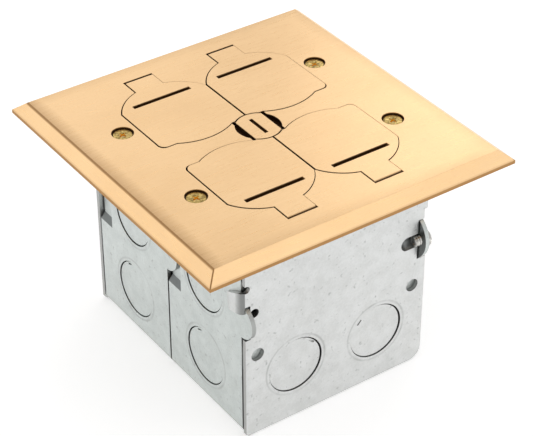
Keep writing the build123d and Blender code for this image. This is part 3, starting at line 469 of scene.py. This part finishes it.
# Cover gasket: a die-cut sheet of dark closed-cell foam pressed under the cover.
# Its cut cells show as fine pits.
foam = new_material("gasket_foam", (0.05, 0.05, 0.052), 0.0, 0.9)
cells = add_node(foam, "TexVoronoi", Vector=add_node(foam, "TexCoord").outputs["Object"], Scale=1800.0)
cell_depth = cells.outputs["Distance"]
foam_cloud = grain(foam, 4.0, detail=2.0)
finish(foam, tint(foam, fade(foam, foam_cloud, 0.35, 0.65), (0.035, 0.035, 0.037), (0.07, 0.07, 0.072)),
       fade(foam, cell_depth, 0.0, 0.6, 0.8, 0.98), relief(foam, cell_depth, 0.12))
dress(foam, "cover_gasket")


# Cover plate: a heavy brass casting, machined flat and brushed, with sloped edges all round.
# It is brushed along its length on top and along each sloped edge; pockets and rim stay dull and dark. The
# pockets hold tarnish deepened by painted shade, and painted shade lies where the sloped edges meet the top.
cover_top = cad_box[1][2]
half_length, half_width = cad_box[1][0], cad_box[1][1]
rim_top = 86.35 * millimetre
bevel_reach = 4.35 * millimetre
brass_light, brass_dark = (0.975, 0.675, 0.38), (0.925, 0.62, 0.325)
# Brass tones: a darker tone for random mottle, painted shade for the edges, and the rim's brown.
brass_shade, edge_shade_brass, brass_rim = (0.70, 0.42, 0.185), (0.26, 0.125, 0.04), (0.50, 0.285, 0.115)


def brass_edge_shade_on(material, place, facing, broad):
    """Painted shade in the corner where the sloped edges meet the top, most on the -X side, and low on them;
    also along the mitre, near the other edges and on the far right rim.
    """
    x, y, z = place
    to_left = reckon(material, "ADD", x, half_length)
    to_front = reckon(material, "ADD", y, half_width)
    to_right = reckon(material, "SUBTRACT", half_length, x)
    to_back = reckon(material, "SUBTRACT", half_width, y)
    stray = fade(material, broad, 0.3, 0.7, -0.5 * millimetre, 0.5 * millimetre)
    ragged = reckon(material, "ADD", to_left, stray)
    left_wash = reckon(material, "MULTIPLY",
                       fade(material, to_left, bevel_reach - 0.2 * millimetre, bevel_reach),
                       fade(material, ragged, bevel_reach, bevel_reach + 5.5 * millimetre, 0.45, 0.0))
    left_line = near(material, to_left, bevel_reach, 0.25 * millimetre, 0.4 * millimetre, 0.85)
    left = reckon(material, "MULTIPLY", reckon(material, "MAXIMUM", left_wash, left_line),
                  fade(material, reckon(material, "MINIMUM", to_front, to_back),
                       bevel_reach - 0.3 * millimetre, bevel_reach))
    mitre = chain(material, "MULTIPLY", near(material, reckon(material, "SUBTRACT", to_left, to_front), 0.0,
                                             0.2 * millimetre, 0.3 * millimetre, 0.95),
                  fade(material, reckon(material, "MAXIMUM", to_left, to_front), bevel_reach,
                       bevel_reach + 0.2 * millimetre, 1.0, 0.0))
    nearest = chain(material, "MINIMUM", to_front, to_right, to_back)
    wash = reckon(material, "MULTIPLY", fade(material, facing[2], 0.95, 0.98),
                  fade(material, nearest, bevel_reach, bevel_reach + 5.0 * millimetre, 0.14, 0.0))
    foot = fade(material, z, rim_top, rim_top + 0.5 * millimetre, 0.35, 0.0)
    right_rim = fade(material, to_right, 0.2 * millimetre, 0.9 * millimetre, 0.9, 0.0)
    return chain(material, "MAXIMUM", left, mitre, wash, foot, right_rim)


def brushed_brass(name, pocket_reach, pocket_colour):
    """Brass brushed along X, or along Y on faces that lean to the sides, and dark down in its pockets with
    tarnish deepened by painted shade.
    """
    material = new_material(name, brass_light, 1.0, 0.3)
    place, facing = place_and_facing(material)
    upright = reckon(material, "ABSOLUTE", facing[2])
    sideways = fade(material, reckon(material, "ABSOLUTE", facing[0]), 0.3, 0.5)
    fine = tint(material, sideways, grain(material, 0.16, (26.0, 1.0, 1.0)),
                grain(material, 0.16, (1.0, 26.0, 1.0)))
    broad = tint(material, sideways, grain(material, 0.9, (14.0, 1.0, 1.0), detail=3.0),
                 grain(material, 0.9, (1.0, 14.0, 1.0), detail=3.0))
    streak = reckon(material, "ADD", reckon(material, "MULTIPLY", fine, 0.55),
                    reckon(material, "MULTIPLY", broad, 0.45))
    speckle = grain(material, 1.1, detail=3.0)
    cloud = grain(material, 24.0, (1.6, 1.0, 1.0), detail=3.0)
    colour = tint(material, fade(material, streak, 0.36, 0.64), brass_dark, brass_light)
    reach = reckon(material, "MAXIMUM", *(reckon(material, "ABSOLUTE", part) for part in place[:2]))
    inside = fade(material, reach, pocket_reach, pocket_reach + 0.5 * millimetre, 1.0, 0.0)
    outside = reckon(material, "SUBTRACT", 1.0, inside)
    sunk = fade(material, place[2], cover_top - 0.5 * millimetre, cover_top - 0.04 * millimetre, 1.0, 0.0)
    pocket = chain(material, "MULTIPLY", inside, sunk, fade(material, facing[2], -0.8, -0.6))
    rim = reckon(material, "MULTIPLY", fade(material, upright, 0.2, 0.4, 1.0, 0.0), outside)
    colour = mix_by(material, colour, (fade(material, cloud, 0.42, 0.68, 0.0, 0.17), brass_shade),
                    (fade(material, speckle, 0.55, 0.75, 0.0, 0.13), brass_shade),
                    (brass_edge_shade_on(material, place, facing, broad), edge_shade_brass),
                    (rim, brass_rim), (pocket, pocket_colour))
    dulled = reckon(material, "MULTIPLY", reckon(material, "MAXIMUM", pocket, rim), 0.3)
    roughness = reckon(material, "ADD", fade(material, streak, 0.35, 0.65, 0.26, 0.38), dulled)
    normal = relief(material, streak, 0.010, soft_edge(material, 0.18))
    finish(material, colour, roughness, relief(material, speckle, 0.012, normal))
    return material


# Pockets: brass tarnish, deepened by painted shade.
pocket_tarnish_and_shade = (0.05, 0.022, 0.008)
dress(brushed_brass("brushed_brass_cover", 56.0 * millimetre, pocket_tarnish_and_shade), "cover_plate")


# Hinge pins: four short drawn-steel pins, pressed into the cover across the tab notches.
# Each runs through one lid's tab, which hides it.
pin_steel = worn_metal("hinge_pin_steel", (0.62, 0.61, 0.59), (0.42, 0.41, 0.39), 0.3, (25.0, 1.0, 1.0),
                       (0.24, 0.4), 0.01)
dress(pin_steel, "lid_hinge_pins")


# Flip lids: four brass plates let flush into the cover, each with a hinge tab and a finger slot.
# They are brushed together with the cover; their edges and the slots are dark with tarnish deepened by
# painted shade.
lid_brass = brushed_brass("brushed_brass_lid", 60.0 * millimetre, (0.15, 0.075, 0.026))
dress(lid_brass, "flip_lid_1", "flip_lid_2", "flip_lid_3", "flip_lid_4")


# Lock: a coin-slotted brass cam in the middle, which turns over the inner corners of the lids.
# Under the cover it carries a split spring washer, a stop arm and a nut.
# The lock's pockets: tarnish deepened by painted shade.
lock_brass = brushed_brass("brushed_brass_lock", 60.0 * millimetre, (0.10, 0.05, 0.018))
dress(lock_brass, "lock_cam")
spring = worn_metal("spring_steel", (0.48, 0.47, 0.45), (0.34, 0.31, 0.27), 0.8, roughness=(0.28, 0.45))
dress(spring, "lock_washer", "lock_stop_arm", "lock_nut")


# Cover screws: four countersunk brass-plated screws with cross recesses, let in below the brushed face.
# The plating is darker and greener than the cover, and the cross is painted bright orange as a painted
# highlight.
screw_plate = new_material("brass_plated_screw", (0.55, 0.46, 0.26), 1.0, 0.26)
plate_wear = grain(screw_plate, 0.9, detail=3.0)
place = add_node(screw_plate, "TexCoord").outputs["Object"]
recess_floor, recess_lip = cover_top - 1.1 * millimetre, cover_top - 0.76 * millimetre
# Painted highlight: bright orange deep in the cross.
cross_glint = fade(screw_plate, part_of(screw_plate, place, "Z"), recess_floor, recess_lip, 1.0, 0.0)
plate_tone = tint(screw_plate, fade(screw_plate, plate_wear, 0.38, 0.62), (0.66, 0.47, 0.16),
                  (0.28, 0.19, 0.06))
finish(screw_plate, tint(screw_plate, cross_glint, plate_tone, (0.95, 0.60, 0.14)),
       fade(screw_plate, plate_wear, 0.3, 0.7, 0.2, 0.38), relief(screw_plate, plate_wear, 0.03))

cover_low, cover_high = (Vector(corner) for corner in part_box("cover_screws"))
screw_head = 3.5 * millimetre
screw_radius = 1.7 * millimetre
screw_length = cover_high.z - cover_low.z
screw_root = 0.8 * screw_radius
screw_pitch = 0.8 * millimetre
head_height, head_rim, head_break = 2.0 * millimetre, 0.35 * millimetre, 0.12 * millimetre
plain_neck = head_height + 1.5 * millimetre
screw_outline = [(0.0, 0.5 * screw_radius)]
screw_outline += thread(0.4 * millimetre, screw_length - plain_neck, screw_pitch, screw_radius, screw_root)
screw_outline += [(screw_length - head_height, screw_root), (screw_length - head_height, screw_radius),
                  (screw_length - head_rim, screw_head), (screw_length - head_break, screw_head),
                  (screw_length, screw_head - head_break)]
cover_screw = turned_piece("cover_screw", screw_outline, sides=48)
cross_size = (4.1 * millimetre, 0.95 * millimetre, 3.0 * millimetre)
cross_turn, cross_taper = radians(20), 0.5
for turn in (cross_turn, cross_turn + pi / 2):
    blade = cutting_block(cross_size, (0, 0, screw_length), turn)
    bpy.ops.object.mode_set(mode="EDIT")
    bpy.ops.mesh.select_all(action="DESELECT")
    bpy.ops.object.mode_set(mode="OBJECT")
    for face in blade.data.polygons:
        face.select = face.normal.z < -0.9
    bpy.ops.object.mode_set(mode="EDIT")
    bpy.ops.transform.resize(value=(cross_taper, cross_taper, 1.0), center_override=(0, 0, screw_length))
    bpy.ops.object.mode_set(mode="OBJECT")
    cut_away(cover_screw, blade)
break_edges(cover_screw, 0.05 * millimetre)
cover_screw.data.materials.append(screw_plate)
half_x = (cover_high.x - cover_low.x) / 2 - screw_head
half_y = (cover_high.y - cover_low.y) / 2 - screw_head
for number, (side_x, side_y) in enumerate(((-1, 1), (1, 1), (-1, -1), (1, -1)), start=1):
    screw = copy_to(cover_screw, f"cover_screw_{number}", (side_x * half_x, side_y * half_y, cover_low.z))
    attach(screw, "root")
    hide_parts("cover_screws")
bpy.data.objects.remove(cover_screw)


# Camera: a long lens 0.7 m from the box, above its front left corner, level with the picture's edge.
# It shows the top of the cover, the front bevel and two walls of the box.
camera_place = Vector((-0.31465, -0.45637, 0.4488))
camera_turn, camera_drop, camera_roll = radians(-34.87), radians(35.74), radians(-0.15)
camera = bpy.data.objects.new("camera", bpy.data.cameras.new("camera"))
scene.collection.objects.link(camera)
camera.data.lens = 126.3
camera.data.sensor_width = 36.0
camera.data.clip_start = 0.01
camera.matrix_world = (Matrix.Translation(camera_place) @ Matrix.Rotation(camera_turn, 4, "Z")
                       @ Matrix.Rotation(pi / 2 - camera_drop, 4, "X") @ Matrix.Rotation(camera_roll, 4, "Z"))
scene.camera = camera


# Studio: a white sky that lights all round, and six soft panels. Two stand behind the right back
# corner, whose light fades across the brass. Two light the front and left slopes, and two the walls.
scene.view_settings.view_transform = "Standard"
sky = bpy.data.worlds.new("sky")
sky.use_nodes = True
scene.world = sky
sky_nodes, sky_links = sky.node_tree.nodes, sky.node_tree.links
sky_ground = sky_nodes["Background"]
sky_path = sky_nodes.new("ShaderNodeLightPath")
sky_strength = sky_nodes.new("ShaderNodeMix")
sky_strength.inputs["A"].default_value = 0.72
sky_strength.inputs["B"].default_value = 1.0
sky_links.new(sky_path.outputs["Is Camera Ray"], sky_strength.inputs["Factor"])
sky_links.new(sky_strength.outputs["Result"], sky_ground.inputs["Strength"])
sky_ground.inputs["Color"].default_value = (1.0, 1.0, 1.0, 1.0)


def soft_panel(name, place, aim, size, watts):
    light = bpy.data.lights.new(name, "AREA")
    light.shape = "SQUARE"
    light.size = size
    light.energy = watts
    panel = bpy.data.objects.new(name, light)
    scene.collection.objects.link(panel)
    panel.location = place
    panel.rotation_euler = (Vector(place) - Vector(aim)).to_track_quat("Z", "Y").to_euler()


soft_panel("panel_right", (0.74, 0.52, 0.55), (0.02, 0.0, 0.09), 0.5, 0.75)
soft_panel("panel_slope_front", (0.40, -0.46, 0.75), (0.0, -0.06, 0.09), 0.45, 0.36)
soft_panel("panel_slope_left", (-0.46, 0.62, 0.62), (-0.06, 0.0, 0.09), 0.45, 0.34)
soft_panel("panel_back", (0.26, 0.82, 0.62), (0.0, 0.0, 0.09), 0.45, 0.25)
soft_panel("panel_front", (0.15, -0.9, 0.25), (0.0, -0.05, 0.05), 0.7, 0.7)
soft_panel("panel_left", (-0.9, -0.1, 0.25), (-0.04, 0.0, 0.05), 0.6, 0.4)


# Floor: a plain white table top under the box, which runs out of sight.
# It keeps a faint shadow, and shows white in the metal.
bpy.ops.object.select_all(action="DESELECT")
floor_width, floor_drop = 6.0, 0.4 * millimetre
bpy.ops.mesh.primitive_plane_add(size=floor_width, location=(0, 0, -floor_drop))
floor = bpy.context.object
floor.name = "floor"
bpy.ops.object.transform_apply(location=True)
floor_paint = new_material("floor_white", (0.82, 0.82, 0.82), 0.0, 0.9)
paint_nodes, paint_links = floor_paint.node_tree.nodes, floor_paint.node_tree.links
paint = paint_nodes["Principled BSDF"]
paint.inputs["Specular IOR Level"].default_value = 0.0
glow_path = add_node(floor_paint, "LightPath")
seen = reckon(floor_paint, "MAXIMUM", glow_path.outputs["Is Camera Ray"],
              glow_path.outputs["Is Glossy Ray"])
glow = add_node(floor_paint, "Emission", Strength=reckon(floor_paint, "MULTIPLY", seen, 0.45))
paint_add = add_node(floor_paint, "AddShader", _0=paint.outputs["BSDF"], _1=glow.outputs["Emission"])
paint_links.new(paint_add.outputs["Shader"], paint_nodes["Material Output"].inputs["Surface"])
floor.data.materials.append(floor_paint)
